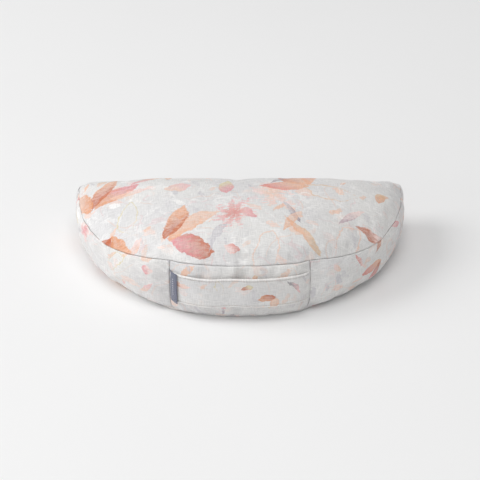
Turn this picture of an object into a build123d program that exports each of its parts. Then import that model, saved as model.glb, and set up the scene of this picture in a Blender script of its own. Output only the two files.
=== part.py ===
"""Half-moon meditation cushion: a sewn fabric cover with a carry handle and a back zip,
an inner liner with its own zip, and a loose filling of buckwheat hulls.

Frame: millimetres, +Z up, the cushion rests on z = 0.  The curved front with the handle
faces -Y, the straight back with the zip faces +Y, and X = 0 is the middle of the width.
"""

import os
from math import cos, pi, sin

from build123d import *

# ---- driving dimensions -------------------------------------------------------------
SEAM_WIDTH = 422.0  # across the top seam
SEAM_DEPTH = 215.0  # straight back edge to the front of the curve
BACK_Y = 106.3  # back edge of the seam outline; centres the whole cushion on Y = 0
STRAIGHT_SIDE = 30.0  # the sides run straight this far before the curve begins
SIDE_POWER = 2.2  # how square the curve is towards the back corners
FRONT_POWER = 1.9  # how flat the curve is along the front
CORNER_RADIUS = 17.0
OUTLINE_STEPS = 8  # points that carry the spline of the curved front, less one

CROWN_Z = 108.0  # highest point of the filled top panel
ZIP_Z = 38.0  # the zip runs round the fullest part of the back wall
BULGE = 3.0  # how far the wall swells outside the seam at ZIP_Z
# height of a slice through the wall, and how far it lies outside the seam outline
WALL_PROFILE = [(0.0, -9.0), (9.0, -1.5), (ZIP_Z, BULGE), (82.0, -1.0), (118.0, -12.0)]

FABRIC = 1.0  # printed cotton-linen with its backing
LINER_FABRIC = 0.5
EASE = 0.1  # gap that keeps neighbouring pieces of one body apart
HALF_SLIT = 0.1  # half the gap where two sewn panels meet

HANDLE_LENGTH = 174.0  # between the two upright front seams
HANDLE_LOW_Z = 21.5
HANDLE_HIGH_Z = 64.0
HANDLE_THICKNESS = 2.2  # two folded layers
HANDLE_EASE = 0.4  # rest gap between the strap and the wall behind it
FREE_LENGTH = 108.0  # middle part of the strap that lifts off the wall

LABEL_WIDTH = 12.5
LABEL_LOW_Z = 20.0
LABEL_HIGH_Z = 64.0
LABEL_THICKNESS = 0.8  # folded once
LABEL_ROLL_RADIUS = 0.6  # folded edge where the label leaves the seam
LABEL_EASE = 0.4

LINER_GROW = -9.0  # the liner stands inside the cover and leaves room for both zips
LINER_LOW_Z = 2.5
LINER_DROP = 1.6  # between the outer faces of the cover's top and the liner's top
CARE_LABEL = (40.0, 0.4, 28.0)

os.makedirs("parts", exist_ok=True)
half_width = SEAM_WIDTH / 2
curve_start_y = BACK_Y - STRAIGHT_SIDE
curve_depth = SEAM_DEPTH - STRAIGHT_SIDE


# ---- shared shapes ------------------------------------------------------------------
def front_y(x, grow):
    """Y of the curved front, for an outline that lies `grow` outside the seam outline."""
    share = (abs(x) / (half_width + grow)) ** SIDE_POWER
    return curve_start_y - (curve_depth + grow) * (1 - share) ** (1 / FRONT_POWER)


def half_moon(grow, height):
    """Half-moon face, straight along the back, `grow` outside the seam outline."""
    points = []
    for step in range(OUTLINE_STEPS + 1):
        angle = pi * step / OUTLINE_STEPS
        x = (half_width + grow) * abs(cos(angle)) ** (2 / SIDE_POWER)
        y = (curve_depth + grow) * abs(sin(angle)) ** (2 / FRONT_POWER)
        points.append((x if angle <= pi / 2 else -x, curve_start_y - y))
    with BuildSketch(Plane.XY.offset(height)) as outline:
        with BuildLine():
            curve = Spline(points)
            back = [(end.X, BACK_Y + grow) for end in (curve @ 1, curve @ 0)]
            Polyline(curve @ 1, back[0], back[1], curve @ 0)
        make_face()
        fillet(outline.vertices().group_by(Axis.Y)[-1], CORNER_RADIUS + grow)
    return outline.sketch


def swollen_block(grow):
    """Solid inside the cushion's wall, offset by `grow`, taller than the cushion."""
    with BuildPart() as block:
        loft([half_moon(grow + swell, height) for height, swell in WALL_PROFILE])
    return block.part


def crown_height(x, y):
    """Height of the filled top panel: level in the middle, lowest at the back corners."""
    across = abs(x) / half_width
    along = 1 - 2 * (y - (BACK_Y - SEAM_DEPTH)) / SEAM_DEPTH
    if along < 0:
        fall_along = 44 * abs(along) ** 3
    else:
        fall_along = 34 * along**4 - 6 * along**3
    backness = min(max((0.3 - along) / 1.3, 0), 1)
    squareness = 2.4 + 3.6 * backness**2 * (3 - 2 * backness)
    fall_across = 46.3 + 38.9 * along + 45.1 * along**2 + 31.2 * along**3 - 18.5 * along**4
    return CROWN_Z - fall_along - fall_across * across**squareness


def crown_face(drop):
    """Curved sheet at the height of the top panel's outer face, lowered by `drop`."""
    columns = [half_width * 1.06 * (i / 9 - 1) for i in range(19)]
    rows = [BACK_Y - SEAM_DEPTH / 2 + SEAM_DEPTH * 0.56 * (j / 5 - 1) for j in range(11)]
    grid = [[(x, y, crown_height(x, y) - drop) for y in rows] for x in columns]
    return Face.make_surface_from_array_of_points(grid, tol=0.05, max_deg=5)


def filled_block(grow, low_z, drop):
    """Straight-walled half-moon block from `low_z` up to the crown lowered by `drop`."""
    with BuildPart() as block:
        extrude(half_moon(grow, low_z), amount=1.5 * CROWN_Z)
        extrude(crown_face(drop), amount=2 * CROWN_Z, dir=(0, 0, 1), mode=Mode.SUBTRACT)
    return block.part


def save(name, builder):
    """Label the finished piece and write it as one STEP file."""
    builder.part.label = name
    export_step(builder.part, f"parts/{name}.step")


cover_outside = swollen_block(0)
cover_inside = swollen_block(-FABRIC)

# ---- cover: top and bottom panels ---------------------------------------------------
with BuildPart() as top_panel:
    extrude(crown_face(0), amount=FABRIC, dir=(0, 0, -1))
    add(cover_outside, mode=Mode.INTERSECT)
save("top_panel", top_panel)

with BuildPart() as bottom_panel:
    add(cover_outside)
    split(bisect_by=Plane.XY.offset(FABRIC), keep=Keep.BOTTOM)
save("bottom_panel", bottom_panel)

# ---- cover: wall panels -------------------------------------------------------------
with BuildPart() as wall:
    add(cover_outside)
    add(cover_inside, mode=Mode.SUBTRACT)
    under_top = crown_face(FABRIC + EASE)
    extrude(under_top, amount=2 * CROWN_Z, dir=(0, 0, 1), mode=Mode.SUBTRACT)
    split(bisect_by=Plane.XY.offset(FABRIC + EASE), keep=Keep.TOP)

corner_y = BACK_Y - CORNER_RADIUS - 4  # where the side panels meet the back panel
half_handle = HANDLE_LENGTH / 2

with BuildPart() as gusset_front:
    add(wall.part)
    with Locations((0, -SEAM_DEPTH / 2, CROWN_Z / 2)):
        Box(HANDLE_LENGTH - 2 * HALF_SLIT, SEAM_DEPTH, 2 * CROWN_Z, mode=Mode.INTERSECT)
save("gusset_front", gusset_front)

for side, name in ((-1, "gusset_left"), (1, "gusset_right")):
    with BuildPart() as gusset_side:
        add(wall.part)
        low_x = half_handle + HALF_SLIT
        reach = SEAM_WIDTH
        with Locations((side * (low_x + reach / 2), corner_y - HALF_SLIT - reach / 2, 0)):
            Box(reach, reach, 4 * CROWN_Z, mode=Mode.INTERSECT)
    save(name, gusset_side)

# ---- cover: back wall, split along the zip -------------------------------------------
ZIP_LENGTH = 300.0
ZIP_SLOT = 12.0  # opening between the folded edges that the zip shows through

with BuildPart() as back_wall:
    add(wall.part)
    with Locations((0, corner_y + SEAM_DEPTH / 2, 0)):
        Box(2 * SEAM_WIDTH, SEAM_DEPTH, 4 * CROWN_Z, mode=Mode.INTERSECT)
    with Locations((0, BACK_Y, ZIP_Z)):
        Box(ZIP_LENGTH, 4 * CORNER_RADIUS, ZIP_SLOT, mode=Mode.SUBTRACT)

with BuildPart() as gusset_back_lower:
    add(back_wall.part)
    split(bisect_by=Plane.XY.offset(ZIP_Z - HALF_SLIT), keep=Keep.BOTTOM)
save("gusset_back_lower", gusset_back_lower)

with BuildPart() as gusset_back_upper:
    add(back_wall.part)
    split(bisect_by=Plane.XY.offset(ZIP_Z + HALF_SLIT), keep=Keep.TOP)
save("gusset_back_upper", gusset_back_upper)

# ---- carry handle: one folded strap, its ends caught in the upright seams -------------
with BuildPart() as strap:
    add(swollen_block(HANDLE_EASE + HANDLE_THICKNESS))
    add(swollen_block(HANDLE_EASE), mode=Mode.SUBTRACT)
    strap_height = HANDLE_HIGH_Z - HANDLE_LOW_Z
    with Locations((0, -SEAM_DEPTH / 2, (HANDLE_LOW_Z + HANDLE_HIGH_Z) / 2)):
        Box(HANDLE_LENGTH, SEAM_DEPTH, strap_height, mode=Mode.INTERSECT)
    fillet(edges().filter_by(GeomType.BSPLINE), HANDLE_THICKNESS / 4)

with BuildPart() as handle_strap:
    add(strap.part)
    Box(FREE_LENGTH - 2 * HALF_SLIT, 2 * SEAM_WIDTH, 4 * CROWN_Z, mode=Mode.INTERSECT)
save("handle_strap", handle_strap)

for side, name in ((-1, "handle_end_left"), (1, "handle_end_right")):
    with BuildPart() as handle_end:
        add(strap.part)
        with Locations((side * (FREE_LENGTH / 2 + HALF_SLIT + SEAM_WIDTH / 2), 0, 0)):
            Box(SEAM_WIDTH, 2 * SEAM_WIDTH, 4 * CROWN_Z, mode=Mode.INTERSECT)
    save(name, handle_end)

# ---- side label: folded once; a short tab carries it out of the left upright seam ------
strap_face = BULGE + HANDLE_EASE + HANDLE_THICKNESS + LABEL_EASE + LABEL_ROLL_RADIUS
label_x = -half_handle - LABEL_ROLL_RADIUS - HALF_SLIT
label_root = Vector(label_x, front_y(label_x, strap_face))
label_tip = Vector(label_x + LABEL_WIDTH, front_y(label_x + LABEL_WIDTH, strap_face))
label_plane = Plane(
    origin=(label_root.X, label_root.Y, LABEL_LOW_Z),
    x_dir=label_tip - label_root,
    z_dir=(0, 0, 1),
)
label_height = LABEL_HIGH_Z - LABEL_LOW_Z
with BuildPart() as side_label:
    with BuildSketch(label_plane):
        Circle(LABEL_ROLL_RADIUS)
        with Locations((LABEL_WIDTH / 2, -LABEL_ROLL_RADIUS + LABEL_THICKNESS / 2)):
            Rectangle(LABEL_WIDTH, LABEL_THICKNESS)
    extrude(amount=label_height)
save("side_label", side_label)

with BuildPart() as label_tab:
    tab_reach = 2 * SEAM_DEPTH
    with Locations((label_x, label_root.Y + tab_reach / 2, LABEL_LOW_Z + label_height / 2)):
        Box(LABEL_THICKNESS, tab_reach, label_height)
    with Locations((label_root.X, label_root.Y, 0)):
        Cylinder(LABEL_ROLL_RADIUS + EASE, 4 * CROWN_Z, mode=Mode.SUBTRACT)
    add(swollen_block(EASE), mode=Mode.SUBTRACT)
    split(bisect_by=Plane.XZ, keep=Keep.TOP)
save("label_tab", label_tab)

# ---- zips: two tapes, two coils, stops, a slider and its pull --------------------------
TAPE_WIDTH = 13.0
TAPE_THICKNESS = 0.6
TAPE_SPLIT = 0.4  # half the gap between the two tapes and the two coils
COIL_WIDTH = 2.4
COIL_HEIGHT = 1.9
SLIDER_LENGTH = 10.0
SLIDER_WIDTH = 8.4
PLATE = 0.9  # thickness of the slider's front and back plates
SLIDER_REACH = 2.2  # from the tape's face to the slider's front plate
LUG_HEIGHT = 3.2
PULL_AXIS = SLIDER_REACH + PLATE + 1.8  # pull's pin, out from the tape's face
PIN_RADIUS = 0.8
PIN_HOLE_RADIUS = 0.88
PULL_LENGTH = 24.0
PULL_WIDTH = 6.4
PULL_THICKNESS = 1.2
STOP_LENGTH = 2.4


def zip_coils(prefix, tape_y, half_length, names):
    """The two interlocked coils, as plain half-round beads along the tapes."""
    coil_edge = half_length - STOP_LENGTH - 1.4
    for side, name in zip((-1, 1), names):
        middle_z = ZIP_Z + side * (TAPE_SPLIT + COIL_WIDTH / 2)
        plane = Plane(origin=(-coil_edge, tape_y + EASE, middle_z), x_dir=(0, 1, 0), z_dir=(1, 0, 0))
        with BuildPart() as coil:
            with BuildSketch(plane):
                with Locations((COIL_HEIGHT / 2, 0)):
                    RectangleRounded(COIL_HEIGHT, COIL_WIDTH, COIL_HEIGHT * 0.3)
            extrude(amount=2 * coil_edge)
        save(prefix + name, coil)


def zip_slider(name, tape_y, slider_x):
    """Slider body: a plate each side of the tapes, a divider between them, and a lug."""
    back_y = tape_y - TAPE_THICKNESS - 0.2 - PLATE
    front_plate_y = tape_y + SLIDER_REACH
    with BuildPart() as slider:
        for plate_y in (back_y, front_plate_y):
            with Locations((slider_x, plate_y + PLATE / 2, ZIP_Z)):
                Box(SLIDER_LENGTH, PLATE, SLIDER_WIDTH)
        fillet(edges().filter_by(Axis.Y), SLIDER_WIDTH / 4)
        lip_width = SLIDER_WIDTH / 2 - (TAPE_SPLIT + COIL_WIDTH + 0.3)
        lip_low_y = tape_y + 0.5
        for side in (-1, 1):
            lip_z = ZIP_Z + side * (SLIDER_WIDTH / 2 - lip_width / 2)
            with Locations((slider_x, (lip_low_y + front_plate_y) / 2, lip_z)):
                Box(SLIDER_LENGTH * 0.56, front_plate_y - lip_low_y, lip_width)
        divider_length = SLIDER_LENGTH * 0.3
        with Locations((slider_x + SLIDER_LENGTH * 0.3, (back_y + front_plate_y) / 2, ZIP_Z)):
            Box(divider_length, front_plate_y - back_y, TAPE_SPLIT * 0.7)
        lug_low_y = front_plate_y + PLATE
        with Locations((slider_x, lug_low_y + LUG_HEIGHT / 2 - EASE, ZIP_Z)):
            lug = Box(SLIDER_LENGTH / 2, LUG_HEIGHT, 1.6)
        fillet(lug.edges().filter_by(Axis.Z).group_by(Axis.Y)[-1], 1.2)
        with Locations((slider_x, tape_y + PULL_AXIS, ZIP_Z)):
            Cylinder(PIN_HOLE_RADIUS, 2 * SLIDER_WIDTH, mode=Mode.SUBTRACT)
    save(name, slider)


def zip_pull(name, tape_y, slider_x, length):
    """Pull tab: a rounded plate with a window, and a pin through the slider's lug."""
    window_half = 1.1
    window_end = 3.6
    pin_y = tape_y + PULL_AXIS
    with BuildPart() as pull:
        plane = Plane(origin=(slider_x, pin_y, ZIP_Z), x_dir=(1, 0, 0), z_dir=(0, -1, 0))
        with BuildSketch(plane):
            with Locations((length / 2, 0)):
                SlotOverall(length, PULL_WIDTH)
            with Locations((window_end / 2, 0)):
                Rectangle(window_end, PULL_WIDTH * 0.84)
            with Locations((length - PULL_WIDTH / 2, 0)):
                SlotOverall(PULL_WIDTH * 0.62, PULL_WIDTH * 0.34, mode=Mode.SUBTRACT)
        extrude(amount=PULL_THICKNESS / 2, both=True)
        with Locations((slider_x + window_end / 2 - 1, pin_y, ZIP_Z)):
            Box(window_end + 2, 2 * PULL_THICKNESS, 2 * window_half, mode=Mode.SUBTRACT)
        with Locations((slider_x, pin_y, ZIP_Z)):
            Cylinder(PIN_RADIUS, PULL_WIDTH * 0.84)
    save(name, pull)


def zip_stops(prefix, tape_y, half_length, top_name, bottom_name):
    """Two small staples at the closed end and one across both tapes at the open end."""
    stop_reach = TAPE_SPLIT + COIL_WIDTH
    middle_x = half_length - STOP_LENGTH / 2 - 0.4
    middle_y = tape_y + EASE + COIL_HEIGHT / 2
    with BuildPart() as top_stops:
        for side in (-1, 1):
            middle_z = ZIP_Z + side * (TAPE_SPLIT / 2 + stop_reach / 2)
            with Locations((middle_x, middle_y, middle_z)):
                Box(STOP_LENGTH, COIL_HEIGHT, COIL_WIDTH)
        fillet(edges().filter_by(Axis.X), 0.3)
    save(prefix + top_name, top_stops)
    with BuildPart() as bottom_stop:
        with Locations((-middle_x, middle_y, ZIP_Z)):
            Box(STOP_LENGTH, COIL_HEIGHT, 2 * stop_reach)
        fillet(edges().filter_by(Axis.X), 0.3)
    save(prefix + bottom_name, bottom_stop)


# cover zip: its tapes lie behind the folded edges of the back wall
tape_grow = -FABRIC - 0.15
cover_tape_y = BACK_Y + BULGE + tape_grow
with BuildPart() as tapes:
    add(swollen_block(tape_grow))
    add(swollen_block(tape_grow - TAPE_THICKNESS), mode=Mode.SUBTRACT)
for side, name in ((-1, "zip_tape_lower"), (1, "zip_tape_upper")):
    with BuildPart() as tape:
        add(tapes.part)
        with Locations((0, BACK_Y, ZIP_Z + side * (TAPE_SPLIT + TAPE_WIDTH / 2))):
            Box(ZIP_LENGTH + 12, 4 * CORNER_RADIUS, TAPE_WIDTH, mode=Mode.INTERSECT)
    save(name, tape)

cover_slider_x = ZIP_LENGTH / 2 - STOP_LENGTH - 1.4 - SLIDER_LENGTH / 2
zip_coils("zip_", cover_tape_y, ZIP_LENGTH / 2, ("coil_lower", "coil_upper"))
zip_slider("zip_slider", cover_tape_y, cover_slider_x)
zip_pull("zip_pull", cover_tape_y, cover_slider_x, PULL_LENGTH)
zip_stops("zip_", cover_tape_y, ZIP_LENGTH / 2, "top_stops", "bottom_stop")

# ---- liner: a plain cotton bag inside the cover ----------------------------------------
LINER_ZIP_LENGTH = 200.0
LINER_PULL_LENGTH = 16.0
liner_back_y = BACK_Y + LINER_GROW
liner_floor_z = LINER_LOW_Z + LINER_FABRIC
liner_ceiling = LINER_DROP + LINER_FABRIC

with BuildPart() as liner_top:
    add(filled_block(LINER_GROW, LINER_LOW_Z, LINER_DROP))
    extrude(crown_face(liner_ceiling), amount=2 * CROWN_Z, dir=(0, 0, -1), mode=Mode.SUBTRACT)
save("liner_top", liner_top)

with BuildPart() as liner_bottom:
    extrude(half_moon(LINER_GROW, LINER_LOW_Z), amount=LINER_FABRIC)
save("liner_bottom", liner_bottom)

with BuildPart() as liner_wall:
    add(filled_block(LINER_GROW, liner_floor_z + EASE, liner_ceiling + EASE))
    extrude(half_moon(LINER_GROW - LINER_FABRIC, 0), amount=2 * CROWN_Z, mode=Mode.SUBTRACT)

with BuildPart() as liner_gusset:
    add(liner_wall.part)
    with Locations((0, corner_y - HALF_SLIT - SEAM_WIDTH / 2, 0)):
        Box(2 * SEAM_WIDTH, SEAM_WIDTH, 4 * CROWN_Z, mode=Mode.INTERSECT)
save("liner_gusset", liner_gusset)

with BuildPart() as liner_back:
    add(liner_wall.part)
    with Locations((0, corner_y + SEAM_WIDTH / 2, 0)):
        Box(2 * SEAM_WIDTH, SEAM_WIDTH, 4 * CROWN_Z, mode=Mode.INTERSECT)
    with Locations((0, liner_back_y, ZIP_Z)):
        Box(LINER_ZIP_LENGTH, 4 * LINER_FABRIC, ZIP_SLOT, mode=Mode.SUBTRACT)
save("liner_back", liner_back)

liner_tape_y = liner_back_y - LINER_FABRIC - 0.15
with BuildPart() as liner_tapes:
    for side in (-1, 1):
        middle_z = ZIP_Z + side * (TAPE_SPLIT + TAPE_WIDTH / 2)
        with Locations((0, liner_tape_y - TAPE_THICKNESS / 2, middle_z)):
            Box(LINER_ZIP_LENGTH + 12, TAPE_THICKNESS, TAPE_WIDTH)
save("liner_zip_tapes", liner_tapes)

liner_slider_x = LINER_ZIP_LENGTH / 2 - STOP_LENGTH - 1.4 - SLIDER_LENGTH / 2
zip_coils("liner_zip_", liner_tape_y, LINER_ZIP_LENGTH / 2, ("coil_lower", "coil_upper"))
zip_slider("liner_zip_slider", liner_tape_y, liner_slider_x)
zip_pull("liner_zip_pull", liner_tape_y, liner_slider_x, LINER_PULL_LENGTH)
zip_stops("liner_zip_", liner_tape_y, LINER_ZIP_LENGTH / 2, "top_stops", "bottom_stop")

# ---- filling: buckwheat hulls, clear of the back of the liner's slider -------------------
fill_grow = LINER_GROW - LINER_FABRIC - 2.2
with BuildPart() as hull_fill:
    add(filled_block(fill_grow, liner_floor_z + 0.3, liner_ceiling + 0.3))
save("hull_fill", hull_fill)

# ---- care label: sewn inside the cover, between the back wall and the liner ---------------
with BuildPart() as care_label:
    with Locations((-120, BACK_Y - 6.5, 5 + CARE_LABEL[2] / 2)):
        Box(*CARE_LABEL)
save("care_label", care_label)
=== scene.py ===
"""Half-moon meditation cushion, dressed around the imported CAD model.

Metres, +Z up, front (handle) towards -Y, back (zip) towards +Y, the cushion lies on z = 0.
"""

from math import cos, pi, radians, sin
from random import Random

import bmesh
import bpy
import numpy as np
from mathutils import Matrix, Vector, geometry, kdtree, noise
from mathutils.bvhtree import BVHTree


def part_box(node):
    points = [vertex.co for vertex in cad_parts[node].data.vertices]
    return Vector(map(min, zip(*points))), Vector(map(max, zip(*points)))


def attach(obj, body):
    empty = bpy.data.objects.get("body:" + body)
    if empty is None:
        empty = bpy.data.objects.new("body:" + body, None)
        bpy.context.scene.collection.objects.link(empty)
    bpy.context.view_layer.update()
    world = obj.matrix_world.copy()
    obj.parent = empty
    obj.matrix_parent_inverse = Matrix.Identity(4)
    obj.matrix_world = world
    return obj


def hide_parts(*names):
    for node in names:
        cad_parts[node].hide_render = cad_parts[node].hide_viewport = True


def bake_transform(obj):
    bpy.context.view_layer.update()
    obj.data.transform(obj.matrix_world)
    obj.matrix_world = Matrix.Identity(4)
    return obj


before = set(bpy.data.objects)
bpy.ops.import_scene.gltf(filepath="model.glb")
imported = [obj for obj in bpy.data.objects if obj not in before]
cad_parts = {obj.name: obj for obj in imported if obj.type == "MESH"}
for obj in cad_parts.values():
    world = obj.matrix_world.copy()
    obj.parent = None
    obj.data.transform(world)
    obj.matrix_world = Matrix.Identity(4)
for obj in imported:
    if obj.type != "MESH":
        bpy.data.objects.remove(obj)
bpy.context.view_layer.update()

# ---------------------------------------------------------------- dimensions
MM = 0.001
HALF_WIDTH = 211 * MM
SEAM_DEPTH = 215 * MM
BACK_Y = 106.3 * MM
STRAIGHT_SIDE = 30 * MM
CORNER_RADIUS = 17 * MM
SIDE_POWER = 2.2
FRONT_POWER = 1.9
CROWN_Z = 108 * MM
HALF_HANDLE = 87 * MM  # the two upright front seams
PLAN_CENTRE = BACK_Y - SEAM_DEPTH / 2
CORNER_Y = BACK_Y - 21 * MM  # where the side panels meet the back panel
ZIP_Z = 38 * MM
HALF_SLOT = 6 * MM
HALF_ZIP = 150 * MM
BOTTOM_SEAM_Z = 2.6 * MM
CURVE_POINTS = 500  # on the curved half of the front

PANELS = ("top", "bottom", "front", "right", "back_lower", "back_upper", "left")


def smooth(value, low, high):
    """Smooth step of value from 0 at low to 1 at high."""
    t = np.clip((value - low) / (high - low), 0, 1)
    return t * t * (3 - 2 * t)


# ---------------------------------------------------------------- cushion: start shape
def seam_outline():
    """Dense closed outline of the seam, counter-clockwise from the middle of the front."""
    a = np.linspace(pi / 2, 0, CURVE_POINTS)
    x = HALF_WIDTH * np.cos(a) ** (2 / SIDE_POWER)
    y = BACK_Y - STRAIGHT_SIDE - (SEAM_DEPTH - STRAIGHT_SIDE) * np.sin(a) ** (2 / FRONT_POWER)
    x[0] = 0
    side_y = np.linspace(y[-1], BACK_Y - CORNER_RADIUS, 12)[1:]
    turn = np.linspace(0, pi / 2, 30)[1:]
    back_x = np.linspace(HALF_WIDTH - CORNER_RADIUS, 0, 100)[1:]
    right = np.concatenate(
        [
            np.stack([x, y], 1),
            np.stack([np.full_like(side_y, HALF_WIDTH), side_y], 1),
            np.stack(
                [
                    HALF_WIDTH - CORNER_RADIUS + CORNER_RADIUS * np.cos(turn),
                    BACK_Y - CORNER_RADIUS + CORNER_RADIUS * np.sin(turn),
                ],
                1,
            ),
            np.stack([back_x, np.full_like(back_x, BACK_Y)], 1),
        ]
    )
    left = (right * [-1, 1])[::-1][1:]
    return np.concatenate([right, left])


class Outline:
    """The seam outline by arc length, with points and outward normals."""

    def __init__(self):
        self.points = seam_outline()
        steps = np.linalg.norm(np.diff(self.points, axis=0), axis=1)
        self.arc = np.concatenate([[0], np.cumsum(steps)])
        self.length = self.arc[-1]
        curve = slice(0, CURVE_POINTS)
        self.front_seam = np.interp(HALF_HANDLE, self.points[curve, 0], self.arc[curve])
        on_side = (self.points[:, 0] > 0) & (np.arange(len(self.points)) > 400)
        side = np.where(on_side)[0]
        self.corner_seam = np.interp(
            CORNER_Y, self.points[side[:150], 1], self.arc[side[:150]]
        )
        self.slot_end = self.length / 2 - HALF_ZIP

    def place(self, s):
        s = np.mod(s, self.length)
        return np.stack([np.interp(s, self.arc, self.points[:, k]) for k in (0, 1)], -1)

    def at(self, s):
        s = np.mod(s, self.length)
        tangent = self.place(s + 0.4 * MM) - self.place(s - 0.4 * MM)
        tangent /= np.linalg.norm(tangent, axis=-1, keepdims=True)
        return self.place(s), np.stack([tangent[..., 1], -tangent[..., 0]], -1)


outline = Outline()


def wall_swell(z):
    """How far the wall lies outside the seam outline at height z."""
    heights = np.array([0, 3, 9, 20, 38, 60, 82, 118]) * MM
    swell = np.array([-9, -5.8, -1.5, 1.6, 3, 2.0, -1.0, -12]) * MM
    fine = np.linspace(0, 118 * MM, 240)
    rough = np.interp(fine, heights, swell)
    for _ in range(60):
        rough[1:-1] = (rough[:-2] + 2 * rough[1:-1] + rough[2:]) / 4
    return np.interp(z, fine, rough)


def shoulder(x, y):
    """1 where the seam turns from the front into a side, 0 in the middle of the front."""
    return smooth(np.abs(x), 0.10, 0.18) * (1 - 0.6 * smooth(y, 0.01, 0.06))


def wall_plan(point, normal, z):
    """Plan position of the wall at height z; its top leans out at the shoulders."""
    lean = 4 * MM * shoulder(point[:, 0], point[:, 1]) * smooth(z, 0.025, 0.07)
    return point + normal * (wall_swell(z) + lean)[:, None]


def crown(x, y):
    """Height of the filled top panel."""
    across = np.abs(x) / HALF_WIDTH
    along = 1 - 2 * (y - (BACK_Y - SEAM_DEPTH)) / SEAM_DEPTH
    fall_along = np.where(along < 0, 44 * np.abs(along) ** 3, 36 * along**4 - 6 * along**3)
    squareness = 2.4 + 3.6 * smooth(0.3 - along, 0, 1.3)
    fall_across = 46.3 + 38.9 * along + 45.1 * along**2 + 31.2 * along**3 - 18.5 * along**4
    slope_back = 3 * smooth(y, 0.03, 0.08) * (1 - smooth(np.abs(x), 0.14, 0.2))
    rim_drop = 3.5 * shoulder(x, y) * np.minimum(across, 1) ** 6
    return CROWN_Z - (fall_along + fall_across * across**squareness + slope_back + rim_drop) * MM


RING_STEPS = np.array([1.5, 4.5, 9.0]) * MM  # rings of a panel, in from its seam
COLUMN_STEP = 5 * MM
SLOT_SEGMENT = 3  # the part of the back that holds the zip's slot


def perimeter_samples():
    """Arc lengths of the mesh columns, with panel and open slot of the wall after each."""
    keys = [outline.front_seam, outline.corner_seam, outline.slot_end]
    keys = keys + [outline.length - k for k in reversed(keys)]
    keys = [keys[-1] - outline.length] + keys
    samples, segment = [], []
    names = ("front", "right", "back", "back", "back", "left")
    near, far = RING_STEPS[:2]
    for k, name in enumerate(names):
        low, high = keys[k], keys[k + 1]
        count = max(1, round((high - far - low - far) / COLUMN_STEP))
        middle = list(np.linspace(low + far, high - far, count + 1))
        run = [low, low + near] + middle + [high - near]
        samples += run
        segment += [(name, k == SLOT_SEGMENT)] * len(run)
    return np.array(samples), segment


LOWER_ROWS = np.array([2.6, 4.1, 7.1, 11.5, 16.5, 21.5, 26.5, 30.5, 32, 38, 44]) * MM
UPPER_SHARES = np.array([0.06, 0.2, 0.36, 0.52, 0.68, 0.82, 0.93, 1.0])
LATTICE = 6 * MM
ROW_RATIO = 0.866  # height of an even triangle over its side


def flat_panel(ring):
    """An even lattice of points inside the ring, and the triangles that join both."""
    low, high = ring.min(0), ring.max(0)
    lattice = np.array(
        [
            (x + (LATTICE / 2 if k % 2 else 0), y)
            for k, y in enumerate(np.arange(low[1], high[1], LATTICE * ROW_RATIO))
            for x in np.arange(low[0], high[0], LATTICE)
        ]
    )
    nxt = np.roll(ring, -1, 0)
    edge = nxt - ring
    rel = lattice[:, None] - ring[None]
    t = np.clip((rel * edge).sum(-1) / (edge**2).sum(-1), 0, 1)
    gap = np.linalg.norm(rel - t[..., None] * edge, axis=-1).min(1)
    x, y = lattice[:, None, 0], lattice[:, None, 1]
    spans = (ring[None, :, 1] > y) != (nxt[None, :, 1] > y)
    crossing = edge[None, :, 0] * (y - ring[None, :, 1]) / (edge[None, :, 1] + 1e-12)
    inside = (spans & (x < crossing + ring[None, :, 0])).sum(1) % 2 == 1
    lattice = lattice[inside & (gap > LATTICE * 0.55)]
    points = [Vector(p) for p in np.concatenate([ring, lattice])]
    border = [(i, (i + 1) % len(ring)) for i in range(len(ring))]
    made = geometry.delaunay_2d_cdt(points, border, [], 1, 1e-7)
    return lattice, [tuple(made[3][v][0] for v in face) for face in made[2]]


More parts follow.
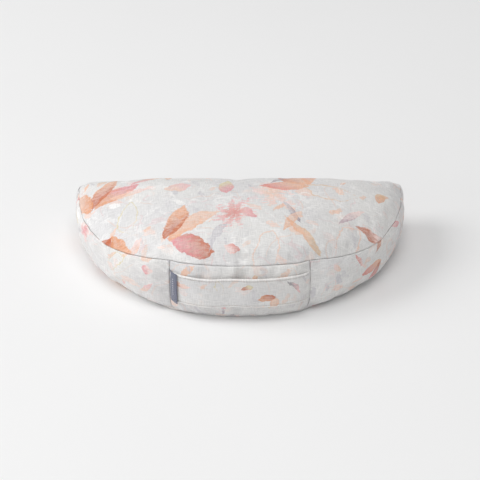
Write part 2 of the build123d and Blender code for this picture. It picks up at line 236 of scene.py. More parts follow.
def build_cushion():
    """Vertices, faces, panel of each face and panel coordinates of each corner."""
    s, segment = perimeter_samples()
    n = len(s)
    point, normal = outline.at(s)
    signed = np.where(s > outline.length / 2, s - outline.length, s)
    top_z = np.full(n, 0.07)
    for _ in range(6):
        rim = wall_plan(point, normal, top_z)
        top_z = crown(rim[:, 0], rim[:, 1])
    verts, faces, panel, coords = [], [], [], []

    def add_row(plan, heights):
        first = len(verts)
        verts.extend((p[0], p[1], h) for p, h in zip(plan, heights))
        return np.arange(len(plan)) + first

    rows = [np.full(n, z) for z in LOWER_ROWS]
    rows += [LOWER_ROWS[-1] + (top_z - LOWER_ROWS[-1]) * share for share in UPPER_SHARES]
    grid = [add_row(wall_plan(point, normal, z), z) for z in rows]
    slot_row = len(LOWER_ROWS) - 3
    for j in range(len(rows) - 1):
        for i in range(n):
            k = (i + 1) % n
            name, in_slot = segment[i]
            if name == "back":
                name = "back_lower" if j <= slot_row else "back_upper"
                if in_slot and j in (slot_row, slot_row + 1):
                    name = "slot"
            faces.append((grid[j][i], grid[j][k], grid[j + 1][k], grid[j + 1][i]))
            panel.append(name)
            a, b = signed[i], signed[i] + (s[k] - s[i]) % outline.length
            below, above = rows[j], rows[j + 1]
            coords.append([(a, below[i]), (b, below[k]), (b, above[k]), (a, above[i])])
    for name, start, step in (("top", grid[-1], 1), ("bottom", grid[0], -1)):
        seam = np.array([verts[v] for v in start])
        rings = [start]
        for d in RING_STEPS:
            plan = seam[:, :2] - normal * d
            if name == "top":
                z = crown(plan[:, 0], plan[:, 1])
            else:
                z = np.full(n, BOTTOM_SEAM_Z * (1 - np.minimum(d / (10 * MM), 1)) ** 2)
            rings.append(add_row(plan, z))
        lattice, triangles = flat_panel(plan)
        heights = crown(lattice[:, 0], lattice[:, 1]) if name == "top" else 0 * lattice[:, 0]
        inner = np.concatenate([rings[-1], add_row(lattice, heights)])
        made = []
        for outer, inward in zip(rings[:-1], rings[1:]):
            made += [
                (outer[i], outer[(i + 1) % n], inward[(i + 1) % n], inward[i]) for i in range(n)
            ]
        made += [tuple(inner[v] for v in triangle) for triangle in triangles]
        for face in made:
            corners = [verts[v] for v in face]
            sides = zip(corners, corners[1:] + corners[:1])
            area = sum(a[0] * b[1] - b[0] * a[1] for a, b in sides)
            face = face if area * step > 0 else face[::-1]
            faces.append(face)
            panel.append(name)
            coords.append([verts[v][:2] for v in face])
    return np.array(verts), faces, panel, coords


def new_mesh(name, verts, faces):
    mesh = bpy.data.meshes.new(name)
    mesh.from_pydata([tuple(v) for v in verts], [], [tuple(int(i) for i in f) for f in faces])
    mesh.update()
    obj = bpy.data.objects.new(name, mesh)
    bpy.context.scene.collection.objects.link(obj)
    return obj


def read(items, key, width=1, kind=float):
    """One value, or a row of width values, of each item, as an array."""
    flat = np.zeros(len(items) * width, kind)
    items.foreach_get(key, flat)
    return flat.reshape(-1, width) if width > 1 else flat


def coordinates(obj):
    return read(obj.data.vertices, "co", 3)


def place(obj, co):
    obj.data.vertices.foreach_set("co", np.asarray(co, float).ravel())
    obj.data.update()


def evaluated(obj):
    """The object's mesh with its modifiers applied, as a new mesh."""
    graph = bpy.context.evaluated_depsgraph_get()
    return bpy.data.meshes.new_from_object(obj.evaluated_get(graph), depsgraph=graph)


def subdivided(obj):
    """The object's mesh after one level of subdivision, as a new mesh."""
    sub = obj.modifiers.new("sub", "SUBSURF")
    sub.levels = sub.render_levels = 1
    sub.uv_smooth = "NONE"
    mesh = evaluated(obj)
    obj.modifiers.clear()
    return mesh


def set_panel_places(piece, places):
    """Where each vertex lies on the flat panel, which is where the print is drawn."""
    attribute = piece.data.attributes.new("panel_uv", "FLOAT_VECTOR", "POINT")
    rows = np.pad(np.array(places), ((0, 0), (0, 1)))
    attribute.data.foreach_set("vector", rows.ravel())


def lumps(co, size, amount, seed):
    """Smooth noise in -1..1 times amount, sampled at each point."""
    at = co / size + seed
    return amount * np.array([noise.noise(Vector(p)) for p in at])


SIM_FRAMES = 24
MAX_SWELL = 5 * MM


def inflate(obj, seam_weight, pin_weight):
    """Cloth simulation: the cover swells a little against its shorter seams."""
    start = coordinates(obj)
    for name, weights in (("seam", seam_weight), ("pin", pin_weight)):
        group = obj.vertex_groups.new(name=name)
        for i in np.where(weights > 0)[0]:
            group.add([int(i)], float(weights[i]), "REPLACE")
    cloth = obj.modifiers.new("Cloth", "CLOTH")
    settings = cloth.settings
    settings.quality = 7
    settings.mass = 0.25
    settings.tension_stiffness = 30
    settings.compression_stiffness = 18
    settings.shear_stiffness = 8
    settings.bending_stiffness = 0.4
    settings.use_pressure = True
    settings.uniform_pressure_force = 3.0
    settings.vertex_group_mass = "pin"
    settings.pin_stiffness = 0.6
    settings.vertex_group_shrink = "seam"
    settings.shrink_min = -0.012
    settings.shrink_max = 0.035
    settings.effector_weights.gravity = 0
    scene = bpy.context.scene
    cloth.point_cache.frame_start, cloth.point_cache.frame_end = 1, SIM_FRAMES
    for number in range(1, SIM_FRAMES + 1):
        scene.frame_set(number)
    graph = bpy.context.evaluated_depsgraph_get()
    moved = read(obj.evaluated_get(graph).data.vertices, "co", 3)
    scene.frame_set(1)
    obj.modifiers.remove(cloth)
    shift = moved - start
    edges = read(obj.data.edges, "vertices", 2, np.int32)
    ends, others = edges.ravel(), edges[:, ::-1].ravel()
    count = np.bincount(ends, minlength=len(start))[:, None]
    slow = shift.copy()
    for _ in range(60):
        total = [np.bincount(ends, slow[others, k], len(start)) for k in range(3)]
        slow = (slow + np.stack(total, 1) / count) / 2
    shift -= 0.9 * slow
    length = np.maximum(np.linalg.norm(shift, axis=1, keepdims=True), 1e-9)
    place(obj, start + shift * MAX_SWELL * np.tanh(length / MAX_SWELL) / length)


verts, faces, panel, coords = build_cushion()
start = np.array(verts)
start[:, 2] += lumps(start, 0.075, 1.2 * MM, 3.1) * smooth(start[:, 2], 0.03, 0.07)
cushion = new_mesh("cushion_start", start, faces)
kinds = list(PANELS) + ["slot"]
layer = cushion.data.uv_layers.new(name="panel")
flat = [c for face in coords for c in face]
layer.data.foreach_set("uv", np.array(flat, np.float32).ravel())
kind_layer = cushion.data.attributes.new("kind", "INT", "FACE")
kind_layer.data.foreach_set("value", [kinds.index(p) for p in panel])

touching = [set() for _ in verts]
for face, name in zip(faces, panel):
    for v in face:
        touching[v].add({"slot": "back_lower"}.get(name, name))
on_seam = np.array([len(t) > 1 for t in touching])
is_bottom = np.array([t == {"bottom"} for t in touching])
near_zip = (
    (start[:, 1] > BACK_Y - 6 * MM)
    & (np.abs(start[:, 0]) < HALF_ZIP + 25 * MM)
    & (np.abs(start[:, 2] - ZIP_Z) < 14 * MM)
)
inner_bottom = is_bottom & (start[:, 2] < 0.1 * MM)
pin = np.where(near_zip | inner_bottom, 1.0, 0.03)
inflate(cushion, on_seam.astype(float), pin)

fine = bpy.data.objects.new("cushion_fine", subdivided(cushion))
bpy.context.scene.collection.objects.link(fine)


def pucker(obj):
    """Small folds that run into the seams, and a ripple along the bottom seam."""
    mesh = obj.data
    co = coordinates(obj)
    normals = read(mesh.vertices, "normal", 3)
    kind = read(mesh.attributes["kind"].data, "value", 1, np.int32)
    first_kind = {}
    seam = set()
    for face, value in zip(mesh.polygons, kind):
        for v in face.vertices:
            if first_kind.setdefault(v, value) != value:
                seam.add(v)
    tree = kdtree.KDTree(len(seam))
    for v in seam:
        tree.insert(co[v], v)
    tree.balance()
    amount = np.zeros(len(co))
    ripple = np.zeros(len(co))
    for i, at in enumerate(co):
        near, _, gap = tree.find(at)
        if gap < 30 * MM:
            fold = noise.noise(near / (4.5 * MM)) + 0.6 * noise.noise(near / (11 * MM))
            reach = 5 * MM + 5 * MM * abs(noise.noise(near / (17 * MM)))
            amount[i] = fold * np.exp(-gap / reach) * gap / (gap + 1.5 * MM)
        if at[2] < 14 * MM:
            wave = noise.noise(Vector((at[0], at[1], 0)) / (8 * MM))
            ripple[i] = wave * np.exp(-at[2] / (5 * MM))
    off_ridge = (co[:, 0] + 7 * MM - 0.08 * (co[:, 1] + 0.1)) / (3.6 * MM)
    ridge = np.exp(-(off_ridge**2)) * smooth(-co[:, 1], 0.055, 0.09) * smooth(co[:, 2], 0.045, 0.07)
    creases = 1.1 * MM * ridge + lumps(co, 0.028, 0.35 * MM, 8.7)
    creases = creases + lumps(co * (1, 1, 0.4), 0.011, 0.12 * MM, 2.2)
    co = co + normals * (amount * 1.15 * MM + creases)[:, None]
    co[:, :2] += normals[:, :2] * (ripple * 1.2 * MM)[:, None]
    foot = smooth(0.14 - np.abs(co[:, 0]), 0, 0.09) * smooth(-co[:, 1], 0.06, 0.1)
    co[:, 1] -= 5.5 * MM * foot * np.exp(-((co[:, 2] / (15 * MM)) ** 2))
    corner = smooth(np.abs(co[:, 0]), 0.17, 0.203) * smooth(co[:, 1], 0.062, 0.1)
    corner = corner * smooth(co[:, 2], 0.02, 0.055)
    raised = 1.2 + 2.6 * (co[:, 0] > 0)
    drawn_out = np.stack([np.sign(co[:, 0]) * 2.8, 0 * corner + 2.6, raised], 1) * MM
    co = co + drawn_out * corner[:, None]
    co[:, 2] = np.maximum(co[:, 2], 0)
    place(obj, co)


CLOTH_THICKNESS = 0.9 * MM
SEAM_TUCK = 1.7 * MM  # how far the panels' edges turn in at a seam


def split_panels(obj):
    """One closed sheet of cloth per panel, with its edges turned into the seams."""
    mesh = obj.data
    co = coordinates(obj)
    normals = read(mesh.vertices, "normal", 3)
    kind = read(mesh.attributes["kind"].data, "value", 1, np.int32)
    loops = read(mesh.loops, "vertex_index", 1, np.int32)
    uv = read(mesh.uv_layers["panel"].data, "uv", 2)
    poly = [(p.loop_start, p.loop_total) for p in mesh.polygons]
    seen = np.full(len(co), -1)
    border = np.zeros(len(co), bool)
    for (first, total), value in zip(poly, kind):
        for v in loops[first : first + total]:
            if seen[v] < 0:
                seen[v] = value
            elif seen[v] != value:
                border[v] = True
    edges = read(mesh.edges, "vertices", 2, np.int32)
    depth = border.astype(float)
    for a, b in ((0, 1), (1, 0)):
        touch = border[edges[:, a]] & ~border[edges[:, b]]
        depth[edges[touch, b]] = np.maximum(depth[edges[touch, b]], 0.25)
    co = co - normals * (depth * SEAM_TUCK)[:, None]
    co[:, 2] = np.maximum(co[:, 2], 0.0)
    pieces = {}
    for value, name in enumerate(PANELS):
        used, made, where = {}, [], []
        for (first, total), k in zip(poly, kind):
            if k != value:
                continue
            face = []
            for corner in range(first, first + total):
                v = loops[corner]
                if v not in used:
                    used[v] = len(used)
                    where.append(uv[corner])
                face.append(used[v])
            made.append(face)
        piece = new_mesh(name, co[list(used)], made)
        set_panel_places(piece, where)
        solid = piece.modifiers.new("solid", "SOLIDIFY")
        solid.thickness = CLOTH_THICKNESS
        solid.offset = -1
        piece.data = evaluated(piece)
        piece.modifiers.clear()
        piece.data.shade_smooth()
        pieces[name] = piece
    return pieces


pucker(fine)
panels = split_panels(fine)
for spare in (cushion, fine):
    bpy.data.objects.remove(spare)

def panel_node(name):
    """Name of the CAD node that a panel stands for."""
    return f"{name}_panel" if name in ("top", "bottom") else f"gusset_{name}"


# ---------------------------------------------------------------- materials
def srgb(r, g, b):
    """Linear colour from the usual 0-255 screen values."""
    c = np.array([r, g, b]) / 255
    return tuple(np.where(c <= 0.04045, c / 12.92, ((c + 0.055) / 1.055) ** 2.4)) + (1.0,)


class Graph:
    """Short calls that add shader nodes; every argument is a socket or a plain value."""

    def __init__(self, tree):
        self.tree = tree

    def feed(self, node, inputs):
        """Link a socket to each named input, or set it to a plain value."""
        for key, value in dict(inputs).items():
            if isinstance(value, bpy.types.NodeSocket):
                self.tree.links.new(value, node.inputs[key])
            else:
                node.inputs[key].default_value = value
        return node

    def node(self, kind, inputs=(), **settings):
        made = self.tree.nodes.new(kind)
        for key, value in settings.items():
            setattr(made, key, value)
        return self.feed(made, inputs)

    def math(self, operation, a, b=0.0, c=0.0):
        return self.node("ShaderNodeMath", {0: a, 1: b, 2: c}, operation=operation).outputs[0]

    def times(self, a, b):
        return self.math("MULTIPLY", a, b)

    def plus(self, a, b):
        return self.math("ADD", a, b)

    def minus(self, a, b):
        return self.math("SUBTRACT", a, b)

    def times_plus(self, a, b, c):
        return self.math("MULTIPLY_ADD", a, b, c)

    def absolute(self, a):
        return self.math("ABSOLUTE", a)

    def vector(self, operation, a, b=(0, 0, 0), scale=1.0):
        made = self.node("ShaderNodeVectorMath", {0: a, 1: b, 3: scale}, operation=operation)
        return made.outputs[1] if operation == "LENGTH" else made.outputs[0]

    def mix(self, share, a, b, blend="MIX"):
        made = self.node("ShaderNodeMix", data_type="RGBA", blend_type=blend)
        return self.feed(made, {0: share, 6: a, 7: b}).outputs[2]

    def step(self, value, low, high, to_low=0.0, to_high=1.0):
        inputs = {0: value, 1: low, 2: high, 3: to_low, 4: to_high}
        return self.node("ShaderNodeMapRange", inputs, interpolation_type="SMOOTHSTEP").outputs[0]

    def noise(self, at, scale, detail=2.0, rough=0.5, colour=False):
        inputs = {"Vector": at, "Scale": scale, "Detail": detail, "Roughness": rough}
        made = self.node("ShaderNodeTexNoise", inputs)
        return made.outputs["Color" if colour else "Fac"]

    def split(self, vector):
        return self.node("ShaderNodeSeparateXYZ", {0: vector}).outputs

    def join(self, x, y, z=0.0):
        return self.node("ShaderNodeCombineXYZ", {0: x, 1: y, 2: z}).outputs[0]

    def bump(self, height, strength, distance, normal=None):
        inputs = {"Height": height, "Strength": strength, "Distance": distance}
        if normal is not None:
            inputs["Normal"] = normal
        return self.node("ShaderNodeBump", inputs).outputs[0]


def start_material(name):
    """A new material, its node graph and its shader."""
    material = bpy.data.materials.new(name)
    material.use_nodes = True
    return material, Graph(material.node_tree), material.node_tree.nodes["Principled BSDF"]


# what every motif group takes in
GROUP_SOCKETS = (
    ("Base", "NodeSocketColor"),
    ("P", "NodeSocketVector"),
    ("Grain", "NodeSocketFloat"),
    ("Centre", "NodeSocketVector"),
    ("Angle", "NodeSocketFloat"),
    ("Stretch", "NodeSocketVector"),
    ("Taper", "NodeSocketFloat"),
    ("Near", "NodeSocketColor"),
    ("Far", "NodeSocketColor"),
    ("Ink", "NodeSocketFloat"),
)


def motif_group(name, draw):
    """Node group that paints one motif over Base; draw gives its mask and its blend of inks."""
    tree = bpy.data.node_groups.new(name, "ShaderNodeTree")
    for socket, kind in GROUP_SOCKETS:
        tree.interface.new_socket(socket, in_out="INPUT", socket_type=kind)
    tree.interface.new_socket("Colour", in_out="OUTPUT", socket_type="NodeSocketColor")
    g = Graph(tree)
    given = tree.nodes.new("NodeGroupInput").outputs
    moved = g.vector("SUBTRACT", given["P"], given["Centre"])
    back = g.times(given["Angle"], -1.0)
    turned = g.node("ShaderNodeVectorRotate", {"Vector": moved, "Angle": back}, rotation_type="Z_AXIS")
    mask, along = draw(g, turned.outputs[0], given)
    ink = g.times(mask, given["Ink"])
    colour = g.mix(along, given["Near"], given["Far"])
    out = tree.nodes.new("NodeGroupOutput")
    tree.links.new(g.mix(ink, given["Base"], colour), out.inputs["Colour"])
    return tree


def petal_depth(g, at, given):
    """Depth inside a bent, tapered leaf: Stretch is 1/half length, 1/half width, bend."""
    x, y, _ = g.split(at)
    to_u, to_v, bend = g.split(given["Stretch"])
    u = g.times(x, to_u)
    square = g.times(u, u)
    v = g.times_plus(y, to_v, g.times(bend, square))
    fall = g.minus(1.0, square)
    taper = g.math("MAXIMUM", g.times_plus(u, given["Taper"], 1.0), 0.1)
    width = g.times(fall, taper)
    ragged = g.times_plus(given["Grain"], 0.45, width)
    return g.minus(ragged, g.absolute(v)), u, v


def draw_petal(g, at, given):
    depth, u, v = petal_depth(g, at, given)
    mask = g.step(depth, 0.0, 0.12)
    wash = g.step(g.times_plus(given["Grain"], 3.0, depth), -0.1, 0.9, 1.0, 0.72)
    lean = g.times_plus(v, 0.35, u)
    along = g.step(g.times_plus(given["Grain"], 2.2, lean), -0.7, 0.7)
    return g.times(mask, wash), along


def draw_outline(g, at, given):
    depth, u, _ = petal_depth(g, at, given)
    line = g.step(g.absolute(depth), 0.02, 0.10, 1.0, 0.0)
    broken = g.step(g.times_plus(given["Grain"], 4.0, u), -1.1, 0.1)
    return g.times(line, broken), broken


def draw_flower(g, at, given):
    """Loose blossom: Stretch is 1/radius across, 1/radius up, number of half lobes."""
    x, y, _ = g.split(at)
    to_u, to_v, lobes = g.split(given["Stretch"])
    u, v = g.times(x, to_u), g.times(y, to_v)
    radius = g.math("SQRT", g.plus(g.times(u, u), g.times(v, v)))
    turn = g.times(g.math("ARCTAN2", v, u), lobes)
    lobe = g.absolute(g.math("COSINE", g.times_plus(radius, 1.3, turn)))
    reach = g.times_plus(lobe, 0.5, g.times_plus(given["Grain"], 2.4, 0.42))
    depth = g.minus(reach, radius)
    mask = g.step(depth, 0.0, 0.16)
    thin = g.step(g.times_plus(given["Grain"], 4.0, depth), -0.2, 0.7, 0.45, 1.0)
    along = g.step(g.times_plus(given["Grain"], 3.0, radius), 0.15, 0.8)
    return g.times(mask, thin), along


MOTIFS = {
    "petal": motif_group("motif_petal", draw_petal),
    "outline": motif_group("motif_outline", draw_outline),
    "flower": motif_group("motif_flower", draw_flower),
}

INKS = {
    "peach": srgb(240, 202, 180),
    "apricot": srgb(235, 178, 142),
    "orange": srgb(222, 150, 104),
    "rust": srgb(195, 103, 62),
    "coral": srgb(222, 128, 116),
    "rose": srgb(226, 142, 148),
    "pink": srgb(238, 182, 182),
    "blush": srgb(243, 214, 208),
    "mauve": srgb(188, 162, 172),
    "grape": srgb(150, 132, 146),
    "slate": srgb(128, 122, 130),
    "ash": srgb(200, 197, 202),
    "straw": srgb(222, 208, 156),
    "sand": srgb(226, 190, 152),
    "white": srgb(246, 245, 244),
    "milk": srgb(236, 233, 230),
}


def drawn_on(g, at, broad, fine):
    """Coordinates shifted by a broad and a fine noise, so edges look painted."""
    drawn = g.vector("ADD", at, g.vector("SCALE", broad, scale=0.014))
    return g.vector("ADD", drawn, g.vector("SCALE", fine, scale=0.0045))


def turned_at(g, at, turn, offset):
    moved = g.vector("ADD", at, (offset, 0.7 * offset, 0))
    inputs = {"Vector": moved, "Angle": turn}
    return g.node("ShaderNodeVectorRotate", inputs, rotation_type="Z_AXIS").outputs[0]


def brush_strokes(g, at, grain, colour, turn, offset, cover, busy):
    """Dry white strokes, all leaning one way."""
    along = g.vector("MULTIPLY", turned_at(g, at, turn, offset), (22, 75, 1))
    rough = g.times_plus(grain, 0.5, g.noise(along, 1.0, 3.0, 0.6))
    stroke = g.step(rough, cover - 0.03, cover + 0.05)
    return g.mix(g.times(stroke, 0.45 * busy), colour, INKS["white"])


def scatter(g, at, grain, colour, cell, squash, turn, share, near, far, offset):
    """Loose small petals, one in some of the cells of an uneven grid."""
    stretched = g.vector("MULTIPLY", turned_at(g, at, turn, offset), (1.0, squash, 1.0))
    inputs = {"Vector": stretched, "Scale": 1000 / cell}
    cells = g.node("ShaderNodeTexVoronoi", inputs, voronoi_dimensions="2D")
    red, green, blue = g.split(cells.outputs["Color"])
    size = g.times_plus(green, 0.26, 0.16)
    edge = g.minus(g.times_plus(grain, 0.55, size), cells.outputs["Distance"])
    mask = g.times(g.step(edge, 0.0, 0.05), g.step(red, 1 - share, 1.001 - share))
    thin = g.step(g.times_plus(grain, 1.5, blue), 0.0, 1.0, 0.25, 0.85)
    return g.mix(g.times(mask, thin), colour, g.mix(blue, INKS[near], INKS[far]))


def scribbles(g, at, colour, scale, ink, offset, strength):
    """Thin looping pencil-like lines that come and go."""
    moved = g.vector("ADD", at, (offset, 2 * offset, 0))
    height = g.noise(moved, scale, 1.5, 0.5)
    line = g.step(g.absolute(g.minus(height, 0.5)), 0.004, 0.013, 1.0, 0.0)
    shown = g.step(g.noise(moved, scale * 1.4, 2.0), 0.48, 0.58)
    return g.mix(g.times(g.times(line, shown), strength), colour, INKS[ink])


# scale, ink, offset, strength
SCRIBBLES = ((17, "apricot", 2.0, 0.25), (23, "white", 6.0, 0.5), (29, "rose", 9.0, 0.18))

# cell size in mm, squash, lean, share of cells filled, inks, offset
SCATTER = (
    (34, 1.9, 0.5, 0.24, "blush", "peach", 1.7),
    (26, 2.3, -0.8, 0.11, "peach", "apricot", 3.3),
    (30, 2.6, 1.2, 0.13, "ash", "ash", 5.1),
    (21, 1.6, 0.2, 0.12, "milk", "white", 7.9),
)


def print_material(name, motifs, wash_seed, busy, edge_highlight_and_groove_shade=False):
    """Printed linen: painted leaves and blossoms on a pale ground, with the weave on top."""
    material, g, shader = start_material(name)
    at = g.node("ShaderNodeAttribute", attribute_name="panel_uv").outputs["Vector"]
    cloth = g.vector("ADD", at, (wash_seed, 0.37 * wash_seed, 0))
    # hand-drawn edges: the print is shifted by a broad and a fine noise
    broad = g.vector("SUBTRACT", g.noise(cloth, 38, 1.0, colour=True), (0.5, 0.5, 0.5))
    fine = g.vector("SUBTRACT", g.noise(cloth, 190, 2.0, colour=True), (0.5, 0.5, 0.5))
    drawn = drawn_on(g, at, broad, fine)
    streaks = g.vector("MULTIPLY", cloth, (1.0, 2.6, 1.0))
    grain = g.minus(g.noise(streaks, 130, 3.0, 0.65), 0.5)
    # pale ground with washes of warm and cool grey, then ghost strokes under the motifs
    ground = g.mix(g.step(g.noise(cloth, 9, 3.0), 0.35, 0.65), srgb(216, 215, 216), srgb(227, 226, 224))
    cool = g.step(g.noise(g.vector("ADD", cloth, (3, 1, 0)), 16, 4.0, 0.6), 0.5, 0.68, 0.0, 0.6)
    ground = g.mix(cool, ground, srgb(209, 208, 210))
    warm = g.step(g.noise(g.vector("ADD", cloth, (7, 5, 0)), 21, 5.0, 0.7), 0.56, 0.72, 0.0, 0.55)
    colour = g.mix(warm, ground, srgb(240, 220, 209))
    ghost = drawn_on(g, cloth, broad, fine)
    for turn, offset, cover in ((0.5, 1.0, 0.6), (-0.7, 4.0, 0.63), (1.4, 8.0, 0.64)):
        colour = brush_strokes(g, cloth, grain, colour, turn, offset, cover, busy)
    for cell, squash, turn, share, near, far, offset in SCATTER:
        share = share * min(1, 0.4 + busy)
        colour = scatter(g, ghost, grain, colour, cell, squash, turn, share, near, far, offset)
    for scale, ink, offset, strength in SCRIBBLES:
        colour = scribbles(g, cloth, colour, scale, ink, offset, strength * min(1, 0.4 + busy))
    for kind, x, y, angle, length, width, shape, near, far, ink in motifs:
        lobes_or_bend, taper = shape
        group = g.node("ShaderNodeGroup", node_tree=MOTIFS[kind])
        inputs = {
            "Base": colour,
            "P": drawn,
            "Grain": grain,
            "Centre": (x * MM, y * MM, 0),
            "Angle": radians(angle),
            "Stretch": (2 / (length * MM), 2 / (width * MM), lobes_or_bend),
            "Taper": taper,
            "Near": INKS[near],
            "Far": INKS[far],
            "Ink": ink,
        }
        colour = g.feed(group, inputs).outputs[0]
    # the ink misses the thickest threads, so it is flecked with pale dots
    fleck = g.step(g.noise(streaks, 620, 2.0, 0.6), 0.5, 0.72, 0.0, 0.25)
    colour = g.mix(fleck, colour, srgb(233, 230, 227))
    if edge_highlight_and_groove_shade:
        # painted highlight: the folded edges are painted pale where the light catches them; painted shade:
        # the stitched line beside them is painted a little darker
        height = g.split(at)[1]
        from_low = g.minus(height, 21.5 * MM)
        from_edge = g.math("MINIMUM", from_low, g.minus(64 * MM, height))
        painted_edge_highlight = g.step(g.times_plus(grain, 0.002, from_edge), 1.2 * MM, 2.2 * MM, 0.6, 0.0)
        colour = g.mix(painted_edge_highlight, colour, srgb(246, 243, 240))
        # painted shade: the groove of the stitched line is darkened in the colour
        from_stitches = g.absolute(g.minus(from_edge, 3.1 * MM))
        beside = g.step(from_stitches, 0.3 * MM, 1.0 * MM, 0.3, 0.0)
        colour = g.mix(beside, colour, srgb(176, 168, 163))
    # linen: uneven threads both ways, seen as fine streaks and as relief
    sideways = g.noise(g.vector("MULTIPLY", at, (90, 1500, 1)), 1.0, 2.0, 0.6)
    upward = g.noise(g.vector("MULTIPLY", at, (1500, 90, 1)), 1.0, 2.0, 0.6)
    slubs = g.plus(sideways, upward)
    tone = g.step(slubs, 0.72, 1.28, 0.86, 1.08)
    colour = g.mix(1.0, colour, g.join(tone, tone, tone), "MULTIPLY")
    u, v, _ = g.split(at)
    warp = g.math("SINE", g.times(u, 2 * pi / (0.8 * MM)))
    weft = g.math("SINE", g.times(v, 2 * pi / (0.8 * MM)))
    threads = g.times(warp, weft)
    relief = g.times_plus(threads, 0.25, slubs)
    g.feed(
        shader,
        {
            "Base Color": colour,
            "Normal": g.bump(relief, 0.55, 0.35 * MM),
            "Roughness": g.step(slubs, 0.7, 1.3, 0.92, 0.8),
            "Sheen Weight": 0.25,
            "Sheen Roughness": 0.5,
            "Specular IOR Level": 0.25,
        },
    )
    return material


def woven_material(name, colour, other, pitch, rough=0.85, sheen=0.2):
    """Plain woven cloth in object coordinates: threads, slubs and a little unevenness."""
    material, g, shader = start_material(name)
    at = g.node("ShaderNodeTexCoord").outputs["Object"]
    x, y, z = g.split(at)
    across = g.math("SINE", g.times(g.plus(x, y), 2 * pi / pitch))
    upward = g.math("SINE", g.times(z, 2 * pi / pitch))
    threads = g.times(across, upward)
    uneven = g.noise(at, 260, 4.0, 0.6)
    share = g.step(g.times_plus(threads, 0.25, uneven), 0.2, 0.8)
    relief = g.times_plus(threads, 0.5, uneven)
    g.feed(
        shader,
        {
            "Base Color": g.mix(share, other, colour),
            "Normal": g.bump(relief, 0.5, 0.3 * MM),
            "Roughness": rough,
            "Sheen Weight": sheen,
        },
    )
    return material


def hard_material(name, colour, other, metallic, rough, wear_scale):
    """Metal or nylon with fine brushing, smudges and worn patches."""
    material, g, shader = start_material(name)
    at = g.node("ShaderNodeTexCoord").outputs["Object"]
    brushed = g.noise(g.vector("MULTIPLY", at, (1, 6, 6)), wear_scale, 4.0, 0.7)
    patches = g.noise(at, wear_scale * 0.2, 3.0, 0.6)
    g.feed(
        shader,
        {
            "Base Color": g.mix(g.step(patches, 0.35, 0.7), colour, other),
            "Roughness": g.step(brushed, 0.3, 0.7, rough - 0.08, rough + 0.12),
            "Normal": g.bump(brushed, 0.15, 0.1 * MM),
            "Metallic": metallic,
        },
    )
    return material


def woven_label_material(name):
    """Slate woven tape with a column of small diamonds."""
    material, g, shader = start_material(name)
    at = g.node("ShaderNodeAttribute", attribute_name="panel_uv").outputs["Vector"]
    u, v, _ = g.split(at)
    from_middle = g.minus(u, 6.2 * MM)
    cell = g.math("PINGPONG", v, 1.6 * MM)
    diamond = g.plus(g.absolute(from_middle), cell)
    figure = g.step(diamond, 0.75 * MM, 1.15 * MM, 1.0, 0.0)
    high = g.step(v, 55 * MM, 55.4 * MM, 1.0, 0.0)
    low = g.step(v, 29.6 * MM, 30 * MM)
    figure = g.times(figure, g.times(low, high))
    rib = g.math("SINE", g.times(v, 2 * pi / (0.45 * MM)))
    twill = g.math("SINE", g.times(g.plus(u, v), 2 * pi / (0.6 * MM)))
    uneven = g.noise(at, 700, 3.0)
    ground = g.mix(g.step(uneven, 0.3, 0.7), srgb(92, 95, 114), srgb(116, 119, 137))
    colour = g.mix(figure, ground, srgb(206, 206, 212))
    height = g.plus(g.times_plus(twill, 0.3, rib), g.times(figure, 1.2))
    g.feed(
        shader,
        {
            "Base Color": colour,
            "Normal": g.bump(height, 0.45, 0.12 * MM),
            "Roughness": g.step(uneven, 0.2, 0.8, 0.5, 0.68),
            "Sheen Weight": 0.2,
        },
    )
    return material


def hulls_material(name):
    """Loose buckwheat hulls: dark three-cornered shells, each its own brown, with painted shade in the gaps
    between them.
    """
    material, g, shader = start_material(name)
    at = g.node("ShaderNodeTexCoord").outputs["Object"]
    cells = g.node("ShaderNodeTexVoronoi", {"Vector": at, "Scale": 230.0})
    tint = g.split(cells.outputs["Color"])[0]
    shell = g.mix(tint, srgb(58, 42, 33), srgb(104, 78, 58))
    # painted shade: each hull is darkened towards its edge, where the gaps between the hulls lie in shade
    hull_colour_with_gap_shade = g.mix(g.step(cells.outputs["Distance"], 0.3, 0.8, 0.0, 0.7), shell, srgb(30, 22, 18))
    g.feed(
        shader,
        {
            "Base Color": hull_colour_with_gap_shade,
        },
    )
    height = g.minus(1.0, cells.outputs["Distance"])
    g.feed(
        shader,
        {
            "Normal": g.bump(height, 0.9, 1.2 * MM),
            "Roughness": g.step(tint, 0.0, 1.0, 0.35, 0.6),
        },
    )
    return material


def plaster_material(name, colour, other):
    """Matt studio floor with a barely visible mottling."""
    material, g, shader = start_material(name)
    at = g.node("ShaderNodeTexCoord").outputs["Object"]
    g.feed(
        shader,
        {
            "Base Color": g.mix(g.noise(at, 3.0, 4.0), colour, other),
            "Roughness": 0.95,
            "Specular IOR Level": 0.1,
        },
    )
    return material


floor_material = plaster_material("studio_floor", srgb(238, 238, 238), srgb(240, 240, 240))


WARM = ("apricot", "orange", "rust", "coral", "rose", "peach", "orange", "apricot")
SOFT = ("peach", "blush", "pink", "sand", "straw", "blush")
COOL = ("slate", "mauve", "grape", "ash")


# A figure is a list of motifs, each: kind, middle x, middle y (mm on the panel), angle,
# length, width, (bend or lobes, taper), near ink, far ink, strength.
def sprig(draw, x, y, size):
    """Broad leaves that fan out from one point."""
    made = []
    turn = draw.uniform(0, 360)
    for k in range(draw.choice((2, 3))):
        angle = turn + 46 * k + draw.uniform(-8, 8)
        length = size * draw.uniform(0.7, 1.1)
        out_x, out_y = 0.5 * length * cos(radians(angle)), 0.5 * length * sin(radians(angle))
        shape = (draw.uniform(-0.3, 0.3), draw.uniform(-0.4, 0.1))
        near, far = draw.choice(WARM), draw.choice(WARM)
        width = length * draw.uniform(0.3, 0.42)
        made.append(("petal", x + out_x, y + out_y, angle, length, width, shape, near, far, 0.9))
    return made


